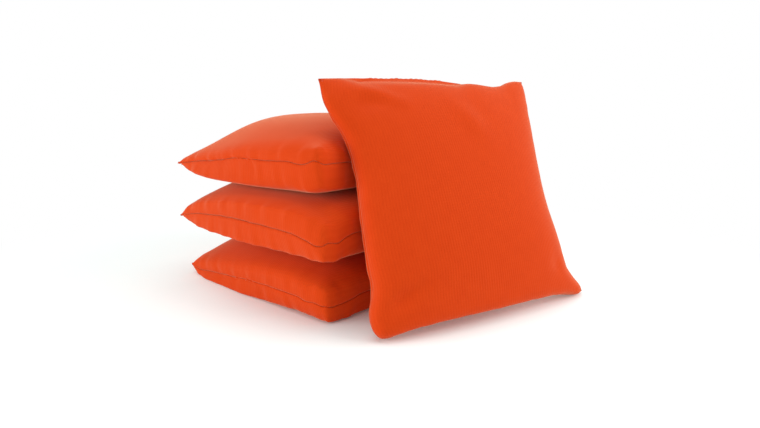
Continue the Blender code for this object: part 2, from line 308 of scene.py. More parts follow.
def cells(rows: np.ndarray) -> np.ndarray:
    """Corner numbers of the cells of a grid whose points have the given numbers."""
    return np.stack((rows[:-1, :-1], rows[1:, :-1], rows[1:, 1:], rows[:-1, 1:]), axis=-1).reshape(-1, 4)


def joined_grids(size: int) -> dict[Face, np.ndarray]:
    """Numbers the points of two square grids that share their rim.

    Args:
        size: points along a side.

    Returns:
        The numbers of each face's points.
    """
    upper = np.arange(size * size).reshape(size, size)
    lower = upper.copy()
    lower[1:-1, 1:-1] = np.arange((size - 2) ** 2).reshape(size - 2, size - 2) + size * size
    return {Face.UPPER: upper, Face.LOWER: lower}


@dataclass(frozen=True)
class Fold:
    """A soft ridge or dent in a face, along a line in the cloth's own plane."""

    start: tuple[float, float]
    end: tuple[float, float]
    reach: float
    height: float
    face: Face = Face.UPPER

    def heights(self, x: np.ndarray, y: np.ndarray) -> np.ndarray:
        """How far the ridge lifts the cloth.

        Args:
            x: places across the bag.
            y: places up the bag.

        Returns:
            The lift at each place.
        """
        along = np.array(self.end) - np.array(self.start)
        share = ((x - self.start[0]) * along[0] + (y - self.start[1]) * along[1]) / (along @ along)
        inside = np.clip(share, 0.0, 1.0)
        away = np.hypot(x - self.start[0] - inside * along[0], y - self.start[1] - inside * along[1])
        return self.height * np.exp(-((away / self.reach) ** 2)) * (0.35 + 0.65 * np.sin(np.pi * inside))


@dataclass(frozen=True)
class SideLine:
    """A smooth curve through chosen places along one side of a bag, such as how far the side draws in."""

    places: tuple[float, ...]
    depths: tuple[float, ...]

    @classmethod
    def arc(cls, depth: float) -> "SideLine":
        """An even curve that is deepest at the middle of the side."""
        places = np.sin(np.linspace(-math.pi / 2, math.pi / 2, 17))
        return cls(tuple(places), tuple(depth * np.maximum(0.0, 1 - places**2) ** 0.9))

    def depth(self, along: np.ndarray) -> np.ndarray:
        """The curve's depth.

        Args:
            along: shares of the way along the side, from -1 to 1.

        Returns:
            The depth at each share.
        """
        x, y = np.array(self.places), np.array(self.depths)
        slope = np.gradient(y, x)
        k = np.clip(np.searchsorted(x, along) - 1, 0, len(x) - 2)
        step = x[k + 1] - x[k]
        p = (along - x[k]) / step
        start = y[k] * (1 + 2 * p) * (1 - p) ** 2 + slope[k] * step * p * (1 - p) ** 2
        return start + y[k + 1] * p * p * (3 - 2 * p) + slope[k + 1] * step * p * p * (p - 1)


Sides = tuple[SideLine, SideLine, SideLine, SideLine]
LEVEL = SideLine.arc(0.0)


@dataclass(frozen=True)
class BagForm:
    """The filled shape of one bag in its own frame: x and y in the seam's sheet, z through its thickness.

    Of four numbers each belongs to a corner, anticlockwise from the near left one. Of four lines each belongs to a
    side: near, right, far and left. Of two values the first belongs to the upper face. Shares go from -1 to 1.
    """

    seam_height: float
    corner_lifts: Four
    crowns: tuple[float, float]
    presses: tuple[float | None, float | None]
    sides: Sides
    walls: Sides
    under_walls: Sides
    near_seam: SideLine = LEVEL
    right_seam: SideLine = LEVEL
    droops: tuple[float, float] = (0.0, 0.0)
    droop_start: float = 0.0
    droop_reach: float = 0.055
    reaches_x: Four = NONE_OF_FOUR
    reaches_y: Four = NONE_OF_FOUR
    roundness: tuple[float, float] = (0.42, 0.36)
    squareness: float = 2.6
    corner_fills: Four = NONE_OF_FOUR
    corner_thins: Four = NONE_OF_FOUR
    under_thins: Four = NONE_OF_FOUR
    gathers: float = 1.0
    tip_rounds: Four = (0.001, 0.001, 0.001, 0.001)
    slump: float = 0.0
    closing_side: int = 2
    closing_shift: float = 0.0
    folds: tuple[Fold, ...] = ()
    width: float = 0.15
    closing_length: float = 0.064
    closing_fade: float = 0.016
    closing_lip: float = 0.004
    canvas: float = 0.0008
    seam_gap: float = 0.0003
    press_rounding: float = 0.0045
    bulge_share: float = 0.055
    ripple: float = 0.00009
    seam_reach: float = 0.004
    fold_edge: float = 0.004
    corner_power: float = 1.5
    reach_power: float = 6.0
    tip_power: int = 12

    def closing_axes(self) -> tuple[tuple[int, int], tuple[int, int]]:
        """Unit vectors along the side that has the closed filling gap, and out of it."""
        along = ((1, 0), (0, 1), (-1, 0), (0, -1))[self.closing_side]
        return along, (along[1], -along[0])

    def closing_window(self, s: np.ndarray, t: np.ndarray) -> np.ndarray:
        """Where the closed filling gap is.

        Args:
            s: shares of the half width.
            t: shares of the half height.

        Returns:
            1 along the gap and 0 elsewhere, with soft ends.
        """
        along, out = self.closing_axes()
        place = np.abs((s * along[0] + t * along[1]) * self.width / 2 - self.closing_shift)
        fade = np.clip((self.closing_length / 2 + self.closing_fade - place) / self.closing_fade, 0.0, 1.0)
        return np.where(s * out[0] + t * out[1] > 0, fade * fade * (3 - 2 * fade), 0.0)

    def seam_level(self, s: np.ndarray, t: np.ndarray) -> np.ndarray:
        """Height of the seam's sheet: its corners droop, and its near corner is tucked in.

        Args:
            s: shares of the half width.
            t: shares of the half height.

        Returns:
            The height at each point.
        """
        near, right = self.near_seam.depth(s), self.right_seam.depth(t)
        tables = near * np.maximum(0.0, -t) ** 6 + right * np.maximum(0.0, s) ** 6
        along = (s - t) * self.width / 2
        ripple = self.ripple * (np.sin(along * 420) + np.sin(along * 263 + 2) + 0.6 * np.sin(along * 811 + 1))
        inward = (1 - np.maximum(np.abs(s), np.abs(t))) * self.width / 2
        beside = np.exp(-((inward / self.seam_reach) ** 2))
        lifts = corner_sum(self.corner_lifts, s, t, self.corner_power)
        return self.seam_height + lifts + tables + ripple * beside

    def plan(self, s: np.ndarray, t: np.ndarray) -> tuple[np.ndarray, np.ndarray]:
        """Lays the sheet out: sides that draw in, corners that reach out, and rounded tips.

        Args:
            s: shares of the half width.
            t: shares of the half height.

        Returns:
            x and y of each point.
        """
        near, right, far, left = self.sides
        tip = corner_sum(self.tip_rounds, s, t, self.tip_power)
        reach_x = corner_sum(self.reaches_x, s, t, self.reach_power) - tip
        reach_y = corner_sum(self.reaches_y, s, t, self.reach_power) - tip
        x = s * (self.width / 2 + reach_x - np.where(s > 0, right.depth(t), left.depth(t)))
        y = t * (self.width / 2 + reach_y - np.where(t > 0, far.depth(s), near.depth(s)))
        return x, y

    def swell(self, share: np.ndarray, other: np.ndarray, walls: tuple[SideLine, SideLine]) -> np.ndarray:
        """How far a wall stands out past its seam, which is most a little way in from the seam.

        Args:
            share: share of the way out to the wall.
            other: share along the wall.
            walls: amounts for the walls at the negative and the positive end.

        Returns:
            The shift of each point.
        """
        depth = (1 - np.abs(share)) / self.bulge_share
        amount = np.where(share > 0, walls[1].depth(other), -walls[0].depth(other))
        return amount * depth * np.exp(1 - depth)

    def press_level(self, face: Face, y: np.ndarray) -> np.ndarray | None:
        """Height of what presses on a face, which may droop towards the near side.

        Args:
            face: the face that is pressed.
            y: places from the near side to the far side.

        Returns:
            The height at each place, or None if nothing presses.
        """
        press = self.presses[face.half]
        if press is None:
            return None
        beyond = np.maximum(0.0, (self.droop_start - y) / self.droop_reach)
        return press - self.droops[face.half] * beyond**2

    def rise(self, face: Face, s: np.ndarray, t: np.ndarray) -> np.ndarray:
        """How far a face stands off the seam's sheet before anything presses on it.

        Args:
            face: the face.
            s: shares of the half width.
            t: shares of the half height.

        Returns:
            The rise at each point.
        """
        _, out = self.closing_axes()
        window = self.closing_window(s, t)
        lip_share = self.closing_lip / (self.width / 2) * window
        s_full = np.where(out[0] * s > 0, s / (1 - lip_share), s)
        t_full = np.where(out[1] * t > 0, t / (1 - lip_share), t)
        across = 1 - np.minimum(1.0, np.abs(s_full)) ** self.squareness
        along = 1 - np.minimum(1.0, np.abs(t_full)) ** self.squareness
        lean = across * along
        fat = lean / np.maximum(across + along - lean, 1e-9)
        room = lean + (fat - lean) * corner_sum(self.corner_fills, s, t, self.corner_power)
        power = self.roundness[face.half]
        if face is Face.UPPER:
            for (u, v), thin in zip(CORNERS, self.corner_thins):
                nearness = np.maximum(0.0, (s * u + t * v) / 2) ** 2
                power = power + 4 * thin * nearness * (1 - nearness)
        else:
            power = power + corner_sum(self.under_thins, s, t, 1)
        full = self.crowns[face.half] * room**power * (1 - self.slump * t)
        edge = 1 - np.maximum(np.abs(s), np.abs(t)) ** 60
        rise = np.hypot(full, 2.5 * self.canvas * window * edge)
        for fold in self.folds:
            if fold.face is face:
                lift = fold.heights(s * self.width / 2, t * self.width / 2)
                rise = rise + lift * np.minimum(1.0, rise / self.fold_edge)
        return rise

    def points(self, face: Face, s: np.ndarray, t: np.ndarray) -> np.ndarray:
        """Shapes a face, flattened where something presses on it.

        Args:
            face: the face.
            s: shares of the half width.
            t: shares of the half height.

        Returns:
            Points of its outer surface.
        """
        x, y = self.plan(s, t)
        near, right, far, left = self.walls if face is Face.UPPER else self.under_walls
        x = x + self.swell(s, t, (left, right))
        y = y + self.swell(t, s, (near, far))
        seam = self.seam_level(s, t)
        rise = self.rise(face, s, t)
        press = self.press_level(face, y)
        if press is not None:
            limit = (press - seam) * face.value
            overlap = np.maximum(self.press_rounding - np.abs(rise - limit), 0.0)
            rise = np.minimum(rise, limit) - overlap**2 / (4 * self.press_rounding)
        return np.stack((x, y, seam + face.value * rise), axis=-1)

    def arc_shares(self, steps: int) -> np.ndarray:
        """Divides the cloth evenly by its length over the middle of the bag.

        Args:
            steps: how many equal lengths it makes.

        Returns:
            Shares of the half width.
        """
        fine = np.sin(np.linspace(-math.pi / 2, math.pi / 2, 2001))
        level = np.zeros_like(fine)
        length = np.zeros_like(fine)
        for face in Face:
            line = self.points(face, fine, level)
            length[1:] += np.linalg.norm(np.diff(line, axis=0), axis=1) / 2
        travelled = np.cumsum(length)
        return np.interp(np.linspace(0.0, travelled[-1], steps + 1), travelled, fine)


@dataclass(frozen=True)
class ClothRecipe:
    """How the canvas settles: the cut, the grid, the gathers and the solver's settings."""

    steps: int = 64
    frames: int = 20
    cut: float = 0.1575
    pucker_height: float = 0.0005
    pucker_reach: float = 0.007
    pucker_length: float = 0.0095
    pucker_scales: tuple[float, float, float] = (1.0, 0.62, 1.7)
    cap_face: float = 0.0012
    cap_edge: float = 0.003
    hold_reach: float = 0.022
    hold_edge: float = 0.06
    hold_gain: float = 0.74
    pressure: float = 4.0
    wall_rows: int = 8

    @property
    def line(self) -> np.ndarray:
        """The cloth's own even coordinate along a side, from -1 to 1."""
        return np.linspace(-1.0, 1.0, self.steps + 1)


@dataclass
class SewnCloth:
    """Two squares of canvas sewn together, and the simulation that settles them. The seed fixes its puckers."""

    name: str
    form: BagForm
    recipe: ClothRecipe
    seed: int

    def __post_init__(self) -> None:
        """Lays both squares out in the bag's filled shape."""
        self.random = np.random.default_rng(self.seed)
        self.u, self.v = np.meshgrid(self.recipe.line, self.recipe.line, indexing="ij")
        even = self.form.arc_shares(self.recipe.steps)
        s_even, t_even = np.meshgrid(even, even, indexing="ij")
        near_s, near_t = np.abs(self.u) ** 3, np.abs(self.v) ** 3
        s = s_even * (1 - near_t) + self.u * near_t
        t = t_even * (1 - near_s) + self.v * near_s
        self.faces = {face: self.form.points(face, s, t) for face in Face}

    def edge_distance(self) -> np.ndarray:
        """Length of cloth between each point and the nearest seam."""
        return (1 - np.maximum(np.abs(self.u), np.abs(self.v))) * self.recipe.cut / 2

    def pucker(self) -> None:
        """Gives the cloth beside the seams its small uneven gathers, which the simulation then works on."""
        recipe = self.recipe
        reach = np.exp(-((self.edge_distance() / recipe.pucker_reach) ** 2))
        inside = self.edge_distance() > 1e-6
        along = np.where(np.abs(self.u) > np.abs(self.v), self.v, self.u) * recipe.cut / 2
        side = np.where(np.abs(self.u) > np.abs(self.v), np.sign(self.u), 2.0 * np.sign(self.v))
        corner = np.clip((1 - np.minimum(np.abs(self.u), np.abs(self.v))) * 9, 0.0, 1.0)
        for face in Face:
            gathers = np.zeros_like(along)
            for number in (-2.0, -1.0, 1.0, 2.0):
                for scale in recipe.pucker_scales:
                    phase = self.random.uniform(0, 2 * math.pi)
                    drift = self.random.uniform(0.9, 1.1)
                    wave = np.sin(2 * math.pi * along / (recipe.pucker_length * scale * drift) + phase)
                    gathers += np.where(side == number, wave * scale, 0.0) / 2
            lift = recipe.pucker_height * self.form.gathers * gathers * reach * inside * corner
            self.faces[face] = self.faces[face] + self.normals(face) * lift[..., None]

    def normals(self, face: Face) -> np.ndarray:
        """Outward unit normals of a face's grid."""
        points = self.faces[face]
        cross = np.cross(np.gradient(points, axis=0), np.gradient(points, axis=1)) * face.value
        return cross / np.maximum(np.linalg.norm(cross, axis=-1, keepdims=True), 1e-12)

    def settle(self) -> None:
        """Runs the cloth from its filled shape towards the lengths of its flat cut, within the cap."""
        recipe = self.recipe
        index = joined_grids(recipe.steps + 1)
        start = np.zeros((index[Face.LOWER].max() + 1, 3))
        flat = np.zeros_like(start)
        hold = np.zeros(len(start))
        cap = np.zeros(len(start))
        x, y = self.u * recipe.cut / 2, self.v * recipe.cut / 2
        depth = np.clip(self.edge_distance() / recipe.hold_reach, 0.0, 1.0)
        quads = []
        for face in reversed(Face):
            rows = index[face]
            start[rows] = self.faces[face]
            flat[rows] = np.stack((x, y, np.full_like(x, face.value * self.form.seam_gap)), axis=-1)
            hold[rows] = recipe.hold_edge + recipe.hold_gain * depth**2
            cap[rows] = recipe.cap_edge * (1 - depth) + recipe.cap_face * depth
            quads.append(cells(rows)[:, :: face.value])
        moved = self.simulate(start, flat, hold, np.concatenate(quads))
        away = moved - start
        far = np.linalg.norm(away, axis=1)
        settled = start + away * (cap / np.sqrt(cap**2 + far**2))[:, None]
        for face in Face:
            self.faces[face] = settled[index[face]]

    def simulate(self, start: np.ndarray, flat: np.ndarray, hold: np.ndarray, quads: np.ndarray) -> np.ndarray:
        """Steps Blender's cloth through its frames and removes it again.

        Args:
            start: points the cloth starts from.
            flat: points of the same cloth as it was cut.
            hold: how firmly the fill holds each point, from 0 to 1.
            quads: corner numbers of the cloth's cells.

        Returns:
            The settled points.
        """
        mesh = bpy.data.meshes.new(f"{self.name}_cloth")
        mesh.from_pydata(start.tolist(), [], quads.tolist())
        thing = bpy.data.objects.new(mesh.name, mesh)
        bpy.context.scene.collection.objects.link(thing)
        thing.shape_key_add(name="filled")
        cut = thing.shape_key_add(name="cut")
        cut.data.foreach_set("co", flat.ravel())
        group = thing.vertex_groups.new(name="hold")
        for level in np.unique(np.round(hold, 2)):
            members = np.nonzero(np.round(hold, 2) == level)[0]
            group.add(members.tolist(), float(level), "REPLACE")
        cloth = thing.modifiers.new("cloth", "CLOTH")
        settings = cloth.settings
        settings.rest_shape_key = cut
        settings.vertex_group_mass = "hold"
        settings.pin_stiffness = 0.6
        settings.quality = 6
        settings.mass = 0.02
        settings.tension_stiffness = 14
        settings.compression_stiffness = 14
        settings.shear_stiffness = 3
        settings.bending_stiffness = 0.05
        settings.use_pressure = True
        settings.uniform_pressure_force = self.recipe.pressure
        settings.effector_weights.gravity = 0
        cloth.collision_settings.use_collision = False
        cloth.point_cache.frame_start = 1
        cloth.point_cache.frame_end = self.recipe.frames
        scene = bpy.context.scene
        for number in range(1, self.recipe.frames + 1):
            scene.frame_set(number)
        shaped = thing.evaluated_get(bpy.context.evaluated_depsgraph_get()).to_mesh()
        points = np.zeros(len(shaped.vertices) * 3)
        shaped.vertices.foreach_get("co", points)
        bpy.data.objects.remove(thing, do_unlink=True)
        bpy.data.meshes.remove(mesh)
        scene.frame_set(1)
        return points.reshape(-1, 3)

    def rest_on(self, face: Face) -> None:
        """Keeps a face on its own side of what presses on it.

        Args:
            face: the face to keep clear.
        """
        points = self.faces[face]
        level = self.form.press_level(face, points[..., 1])
        if level is not None:
            keep = np.minimum if face is Face.UPPER else np.maximum
            points[..., 2] = keep(points[..., 2], level)

    def lean_near_wall(self) -> None:
        """Leans the near wall's lower half straight out to its foot, so that the sheet doesn't double back."""
        for row in self.faces[Face.LOWER]:
            foot = int(row[: self.recipe.wall_rows, 1].argmin())
            if foot > 1 and row[foot, 2] < row[0, 2]:
                share = np.clip((row[0, 1] - row[: foot + 1, 1]) / (row[0, 1] - row[foot, 1]), 0.0, 1.0)
                slant = row[0, 2] + (row[foot, 2] - row[0, 2]) * share
                row[: foot + 1, 2] = np.maximum(row[: foot + 1, 2], slant)


@dataclass(frozen=True)
class Sewing:
    """Sizes of the seam and its threads."""

    roll_in: float = 0.0011
    roll_gap: float = 0.00002
    edge_gap: float = 0.00008
    seam_inset: float = 0.003
    seam_apart: float = 0.0013
    seam_loop: float = 0.00015
    seam_radius: float = 0.00025
    closing_pitch: float = 0.0038
    closing_inset: float = 0.0021
    closing_arch: float = 0.00014
    closing_sink: float = 0.00016
    closing_end_sink: float = 0.0003
    closing_radius: float = 0.0002
    closing_pinch: float = 0.45


@dataclass
class TossBag:
    """One sewn bag: two canvas squares, two seam threads, the closing stitches and the fill.

    The names of its nodes start with its body's name. Its panels are named from the upper face down, its place is
    its own frame in the part's frame, and its seed fixes its puckers.
    """

    body: str
    panels: tuple[str, str]
    form: BagForm
    place: Matrix
    seed: int
    finishes: dict[Slot, Material]
    recipe: ClothRecipe = ClothRecipe()
    sewing: Sewing = Sewing()
    tightness: float = 0.9
    floor_gap: float = 0.0001
    floor_slide: float = 0.8
    fill_inset: float = 0.016
    fill_under_crown: float = 0.0045
    fill_under_press: float = 0.002
    fill_steps: int = 32

    def __post_init__(self) -> None:
        """Lays out the canvas."""
        self.cloth = SewnCloth(self.body, self.form, self.recipe, self.seed)

    def link(self, data: Mesh | Curve, node: str, slot: Slot) -> Object:
        """Adds one piece, in place of the node that it dresses.

        Args:
            data: the piece's shape in the bag's own frame, which also gives it its name.
            node: the end of the node's name.
            slot: the material slot.

        Returns:
            The piece.
        """
        data.materials.append(self.finishes[slot])
        data.transform(self.place)
        piece = bpy.data.objects.new(data.name, data)
        bpy.context.scene.collection.objects.link(piece)
        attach(piece, self.body)
        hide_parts(f"{self.body}_{node}")
        LOG.info("%s on %s", piece.name, self.body)
        return piece

    def sew(self) -> None:
        """Shapes the canvas."""
        self.cloth.pucker()
        self.cloth.settle()
        for face in Face:
            self.cloth.rest_on(face)
        self.cloth.lean_near_wall()
        self.stand_on_floor()

    def stand_on_floor(self) -> None:
        """Turns any cloth that would dip into the floor forward along it."""
        turn = np.array(self.place.to_3x3())
        shift = np.array(self.place.translation)
        forward = turn[:2, 2] * self.floor_slide
        for face in Face:
            world = self.cloth.faces[face] @ turn.T + shift
            dip = np.maximum(0.0, self.floor_gap - world[..., 2])
            world[..., 2] += dip
            world[..., :2] += dip[..., None] * forward
            self.cloth.faces[face] = (world - shift) @ turn

    def rolled(self, face: Face) -> tuple[np.ndarray, np.ndarray]:
        """A face's grid with one more row all round, where the canvas rolls in to the seam.

        Args:
            face: the face.

        Returns:
            The points, and the cloth's coordinates in millimetres.
        """
        grid = np.pad(self.cloth.faces[face], ((1, 1), (1, 1), (0, 0)), mode="edge")
        inward = grid[..., :2] / np.maximum(np.linalg.norm(grid[..., :2], axis=-1, keepdims=True), 1e-9)
        from_edge = np.minimum(np.arange(len(grid)), np.arange(len(grid))[::-1])
        ring = np.minimum.outer(from_edge, from_edge)
        grid[ring == 0, :2] -= inward[ring == 0] * self.sewing.roll_in
        grid[ring == 0, 2] += face.value * self.sewing.roll_gap
        grid[ring == 1, 2] += face.value * self.sewing.edge_gap
        line = self.recipe.line
        step = line[1] - line[0]
        line = np.concatenate(([-1 - step / 2], line, [1 + step / 2])) * self.recipe.cut * 500
        u, v = np.meshgrid(line, line, indexing="ij")
        return grid, np.stack((u, v), axis=-1)

    def make_panel(self, face: Face) -> Object:
        """A canvas square as a sheet of real thickness.

        Args:
            face: the square's face.

        Returns:
            The piece.
        """
        grid, cloth = self.rolled(face)
        node = self.panels[face.half]
        quads = cells(np.arange(len(grid) ** 2).reshape(len(grid), -1))[:, :: face.value]
        mesh = bpy.data.meshes.new(f"{self.body}_{node}_canvas")
        mesh.from_pydata(grid.reshape(-1, 3).tolist(), [], quads.tolist())
        layer = mesh.uv_layers.new(name="cloth_mm")
        corners = np.zeros(len(mesh.loops), dtype=np.int32)
        mesh.loops.foreach_get("vertex_index", corners)
        layer.data.foreach_set("uv", cloth.reshape(-1, 2)[corners].ravel())
        mesh.shade_smooth()
        piece = self.link(mesh, node, Slot.CANVAS)
        smooth = piece.modifiers.new("smooth", "SUBSURF")
        smooth.levels = smooth.render_levels = 1
        sheet = piece.modifiers.new("canvas", "SOLIDIFY")
        sheet.thickness = self.form.canvas
        sheet.offset = -1
        return piece

    def make_thread(self, node: str, points: np.ndarray, radii: np.ndarray, radius: float, closed: bool) -> None:
        """A sewing thread through the points.

        Args:
            node: the end of the node's name.
            points: places along the thread.
            radii: its thickness at each place, as shares of the radius.
            radius: its radius in metres.
            closed: whether its ends meet.
        """
        curve = bpy.data.curves.new(f"{self.body}_{node}_stitches", "CURVE")
        curve.dimensions = "3D"
        curve.bevel_depth = radius
        curve.bevel_resolution = 2
        curve.use_fill_caps = not closed
        spline = curve.splines.new("POLY")
        spline.points.add(len(points) - 1)
        spline.points.foreach_set("co", np.c_[points, np.ones(len(points))].ravel())
        spline.points.foreach_set("radius", radii)
        spline.use_cyclic_u = closed
        self.link(curve, node, Slot.THREAD)

    def make_seam_threads(self) -> None:
        """The lock stitch inside the fold: each thread loops towards the other at every stitch."""
        sewing = self.sewing
        rim = self.cloth.faces[Face.UPPER]
        line = np.concatenate((rim[:-1, 0], rim[-1, :-1], rim[:0:-1, -1], rim[0, :0:-1]))
        inward = line[:, :2] / np.linalg.norm(line[:, :2], axis=1)[:, None]
        for node, side in (("needle_thread", 1), ("bobbin_thread", -1)):
            points = line.copy()
            points[:, :2] -= inward * sewing.seam_inset
            dip = sewing.seam_loop * np.cos(np.arange(len(line)) * math.pi)
            points[:, 2] += side * (sewing.seam_apart + dip)
            self.make_thread(node, points, np.ones(len(points)), sewing.seam_radius, True)

    def make_closing(self) -> None:
        """The row of straight stitches that closes the filling gap, just inside its edge."""
        form, sewing, half = self.form, self.sewing, self.recipe.cut / 2
        along, out = form.closing_axes()
        last = round(form.closing_length / sewing.closing_pitch) * 6
        normals = self.cloth.normals(Face.UPPER)
        points = []
        radii = []
        for step in range(last + 1):
            place = ((step / last - 0.5) * form.closing_length + form.closing_shift) / half
            inset = 1 - sewing.closing_inset / half
            u = along[0] * place + out[0] * inset
            v = along[1] * place + out[1] * inset
            phase = step % 6
            lift = sewing.closing_arch * math.sin(math.pi * min(phase, 5) / 5) - sewing.closing_sink
            if not 6 <= step <= last - 6:
                lift -= sewing.closing_end_sink
            points.append(self.sample(self.cloth.faces[Face.UPPER], u, v) + self.sample(normals, u, v) * lift)
            radii.append(sewing.closing_pinch if phase in (0, 5) else 1.0)
        self.make_thread("closing_thread", np.array(points), np.array(radii), sewing.closing_radius, False)

    def sample(self, grid: np.ndarray, u: float, v: float) -> np.ndarray:
        """A grid's value between its nodes.

        Args:
            grid: a value at each node.
            u: place across the cloth, from -1 to 1.
            v: place up the cloth, from -1 to 1.

        Returns:
            The value there.
        """
        line = self.recipe.line
        a, b = (min(int((place + 1) / 2 * (len(line) - 1)), len(line) - 2) for place in (u, v))
        p = (u - line[a]) / (line[a + 1] - line[a])
        q = (v - line[b]) / (line[b + 1] - line[b])
        low = grid[a, b] * (1 - p) + grid[a + 1, b] * p
        high = grid[a, b + 1] * (1 - p) + grid[a + 1, b + 1] * p
        return low * (1 - q) + high * q

    def make_fill(self) -> None:
        """The fill, which keeps clear inside the canvas."""
        form = replace(
            self.form,
            width=self.form.width - self.fill_inset,
            walls=(LEVEL,) * 4,
            under_walls=(LEVEL,) * 4,
            crowns=tuple(crown - self.fill_under_crown for crown in self.form.crowns),
            reaches_x=NONE_OF_FOUR,
            reaches_y=NONE_OF_FOUR,
            presses=tuple(
                None if press is None else press - face.value * self.fill_under_press
                for press, face in zip(self.form.presses, Face)
            ),
            folds=(),
            closing_length=0.0,
        )
        line = np.sin(np.linspace(-math.pi / 2, math.pi / 2, self.fill_steps + 1))
        s, t = np.meshgrid(line, line, indexing="ij")
        index = joined_grids(len(line))
        points = np.zeros((index[Face.LOWER].max() + 1, 3))
        for face in reversed(Face):
            points[index[face]] = form.points(face, s, t)
        quads = np.concatenate([cells(index[face])[:, :: face.value] for face in Face])
        mesh = bpy.data.meshes.new(f"{self.body}_fill_grain")
        mesh.from_pydata(points.tolist(), [], quads.tolist())
        mesh.shade_smooth()
        self.link(mesh, "fill", Slot.FILL)

    def build(self) -> None:
        """Makes every piece of the bag."""
        self.sew()
        for face in Face:
            self.make_panel(face)
        self.make_seam_threads()
        self.make_closing()
        self.make_fill()


@dataclass(frozen=True)
class PileLie:
    """How the bags of the pile lie on each other."""

    pressed_height: float = 0.037
    gap: float = 0.0003
    left_drop: float = 0.005
    upper_left_drop: float = 0.0078
    far_drop: float = 0.003
    crown: float = 0.028
    free_crown: float = 0.0256
    droop: float = 0.0028
    drawn_in: SideLine = SideLine.arc(0.001)
    pushed_in: SideLine = SideLine.arc(0.007)
    near_wall: SideLine = SideLine.arc(0.0045)
    other_walls: tuple[SideLine, ...] = (SideLine.arc(0.003), SideLine.arc(0.002), SideLine.arc(0.002))

    def lower(self) -> BagForm:
        """The lowest bag, flat on the floor and under the other two."""
        return BagForm(
            0.0112,
            (-self.left_drop, 0.0025, -self.far_drop, -self.far_drop),
            (self.crown, self.crown),
            (self.pressed_height, 0.0),
            sides=(self.drawn_in,) * 4,
            walls=(self.near_wall, *self.other_walls),
            under_walls=(
                SideLine(
                    (-1.0, -0.8, -0.33, -0.1, 0.16, 0.4, 0.66, 0.86, 1.0),
                    (0.0, 0.0052, 0.0066, 0.0064, 0.0034, 0.0014, -0.0014, -0.0018, 0.0),
                ),
                *self.other_walls,
            ),
            near_seam=SideLine(
                (-1.0, -0.92, -0.61, -0.36, 0.03, 0.55, 0.68, 0.75, 0.85, 0.95, 1.0),
                (-0.0003, -0.0022, -0.0024, -0.002, 0.0, 0.0, -0.0006, -0.0017, -0.0014, -0.0025, -0.0027),
            ),
            right_seam=SideLine(
                (-1.0, -0.96, -0.88, -0.75, -0.62, -0.5, 0.0, 1.0),
                (0.0, -0.001, -0.0015, -0.0009, 0.0009, 0.0014, 0.0012, 0.0),
            ),
            reaches_x=(0.002, 0.0, 0.0, 0.0),
            reaches_y=(0.001, 0.0, 0.0, 0.0),
            roundness=(0.38, 0.3),
            corner_fills=(0.0, 1.0, 0.4, 0.4),
            corner_thins=(0.13, -0.04, 0.05, 0.1),
            tip_rounds=(0.0, 0.0035, 0.001, 0.001),
        )

    def middle(self) -> BagForm:
        """The middle bag, whose near side droops over the lowest one."""
        return replace(
            self.lower(),
            seam_height=0.0138,
            corner_lifts=(-self.left_drop, -0.0008, -self.far_drop, -self.far_drop),
            under_walls=(
                SideLine(
                    (-1.0, -0.8, -0.33, 0.0, 0.35, 0.7, 0.9, 1.0),
                    (0.0, 0.003, 0.0045, 0.0045, 0.0022, 0.0006, 0.0, 0.0),
                ),
                *self.other_walls,
            ),
            near_seam=SideLine(
                (-1.0, -0.85, -0.5, 0.13, 0.6, 0.7, 0.82, 0.91, 1.0),
                (-0.0012, 0.0004, 0.0014, 0.0015, 0.0014, 0.001, -0.0006, -0.0023, -0.0023),
            ),
            right_seam=SideLine(
                (-1.0, -0.94, -0.84, -0.74, -0.55, 0.0, 1.0),
                (0.0, 0.001, -0.0013, 0.0011, 0.0014, 0.0012, 0.0),
            ),
            under_thins=(0.14, 0.0, 0.0, 0.0),
            droops=(self.droop, 0.0),
            droop_start=-0.0148,
            closing_side=3,
        )

    def upper(self) -> BagForm:
        """The highest bag, free on top, with the leaning bag against its right side."""
        return replace(
            self.lower(),
            seam_height=0.0165,
            corner_lifts=(-self.upper_left_drop, 0.0033, -self.far_drop, -self.far_drop),
            crowns=(self.free_crown, self.crown),
            presses=(None, 0.0),
            droops=(0.0, self.droop),
            droop_start=-0.0208,
            sides=(self.drawn_in, self.pushed_in, self.drawn_in, self.drawn_in),
            walls=(self.near_wall, LEVEL, *self.other_walls[1:]),
            under_walls=(
                SideLine(
                    (-1.0, -0.8, -0.33, 0.0, 0.35, 0.7, 0.9, 1.0),
                    (0.0, 0.004, 0.0055, 0.005, 0.003, 0.0015, 0.0005, 0.0),
                ),
                SideLine((-1.0, -0.8, -0.6, -0.3, 0.2, 1.0), (0.0, 0.003, 0.004, 0.0028, 0.0, 0.0)),
                *self.other_walls[1:],
            ),
            near_seam=SideLine(
                (-1.0, -0.68, -0.44, 0.09, 0.3, 0.64, 0.88, 0.94, 1.0),
                (-0.002, -0.0019, -0.0023, 0.0, -0.0004, -0.0005, -0.0014, 0.0003, -0.0008),
            ),
            right_seam=SideLine(
                (-1.0, -0.94, -0.75, -0.6, 0.0, 1.0),
                (0.0, -0.0014, -0.0013, -0.0016, -0.0016, 0.0),
            ),
            roundness=(0.42, 0.24),
            corner_thins=(0.38, 0.0, 0.05, 0.1),
            under_thins=(0.24, 0.0, 0.0, 0.0),
        )

    def bags(self, finishes: dict[Slot, Material]) -> list[TossBag]:
        """The three bags, from the floor up.

        Args:
            finishes: the material of each slot.

        Returns:
            The bags.
        """
        level = self.pressed_height + self.gap
        names = ("top_panel", "bottom_panel")
        return [
            TossBag("lower_bag", names, self.lower(), Matrix.Identity(4), 11, finishes),
            TossBag("middle_bag", names, self.middle(), self.place(0.001, -0.0052, level, 1.0), 23, finishes),
            TossBag("upper_bag", names, self.upper(), self.place(-0.0082, 0.0008, 2 * level, 1.2), 37, finishes),
        ]

